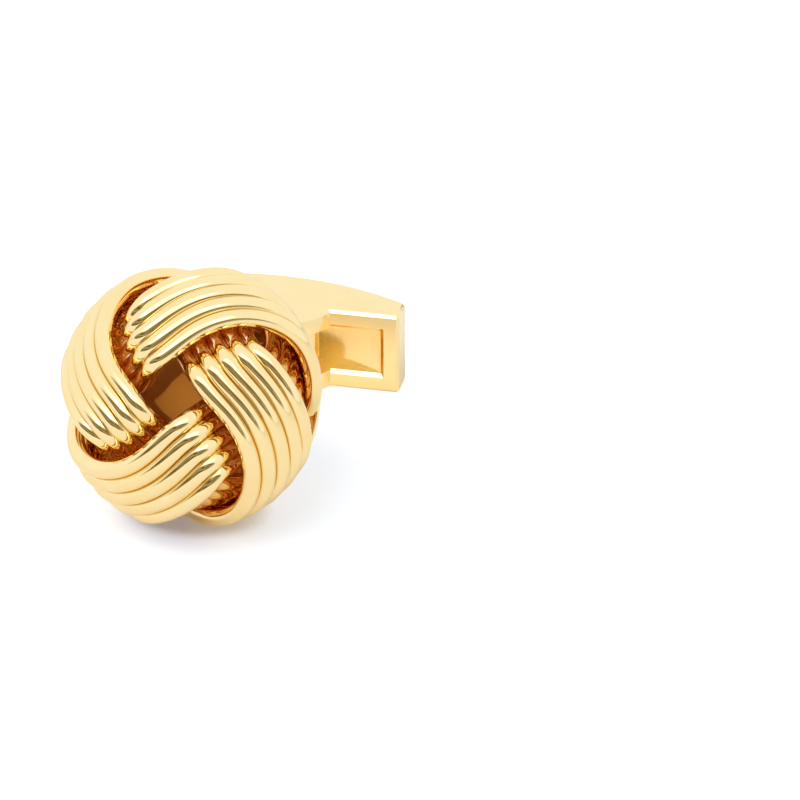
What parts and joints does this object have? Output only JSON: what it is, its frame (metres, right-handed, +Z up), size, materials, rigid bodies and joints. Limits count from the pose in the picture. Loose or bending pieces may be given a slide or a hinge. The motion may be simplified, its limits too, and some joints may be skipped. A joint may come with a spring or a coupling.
{
  "type": "woven knot cufflink",
  "caption": "Gold plated cufflink: a knot woven from bands of round wire on a domed back plate, with a bent stem and a swivelling whale-back toggle bar that holds a shirt cuff shut.",
  "frame": {"origin": "on the floor, under the middle of the cufflink's box, lying as it is pictured", "axes": "-Y is the side the knot faces, +Y is towards the toggle bar, +X runs along the bar, +Z is up and along the hinge pin"},
  "size_m": [0.018, 0.0282, 0.0155],
  "materials": {
    "polished_gold": "polished",
    "pin_gold": "polished",
    "spring_strip": "polished"
  },
  "bodies": {
    "knot": {"right_band_wire_1": "polished_gold", "right_band_wire_2": "polished_gold", "right_band_wire_3": "polished_gold", "right_band_wire_4": "polished_gold", "right_band_wire_5": "polished_gold", "top_band_wire_1": "polished_gold", "top_band_wire_2": "polished_gold", "top_band_wire_3": "polished_gold", "top_band_wire_4": "polished_gold", "top_band_wire_5": "polished_gold", "left_band_wire_1": "polished_gold", "left_band_wire_2": "polished_gold", "left_band_wire_3": "polished_gold", "left_band_wire_4": "polished_gold", "left_band_wire_5": "polished_gold", "bottom_band_wire_1": "polished_gold", "bottom_band_wire_2": "polished_gold", "bottom_band_wire_3": "polished_gold", "bottom_band_wire_4": "polished_gold", "bottom_band_wire_5": "polished_gold", "back_plate": "polished_gold", "post_collar": "polished_gold", "post": "polished_gold"},
    "toggle": {"toggle_bar": "polished_gold", "hinge_pin": "pin_gold", "leaf_spring": "spring_strip"}
  },
  "joints": [
    {"name": "toggle_hinge", "type": "hinge", "parent": "knot", "child": "toggle", "pos_m": [0, 0.00827, 0.0028], "axis": [0, 0, 1], "range_deg": [-90, 90]}
  ]
}
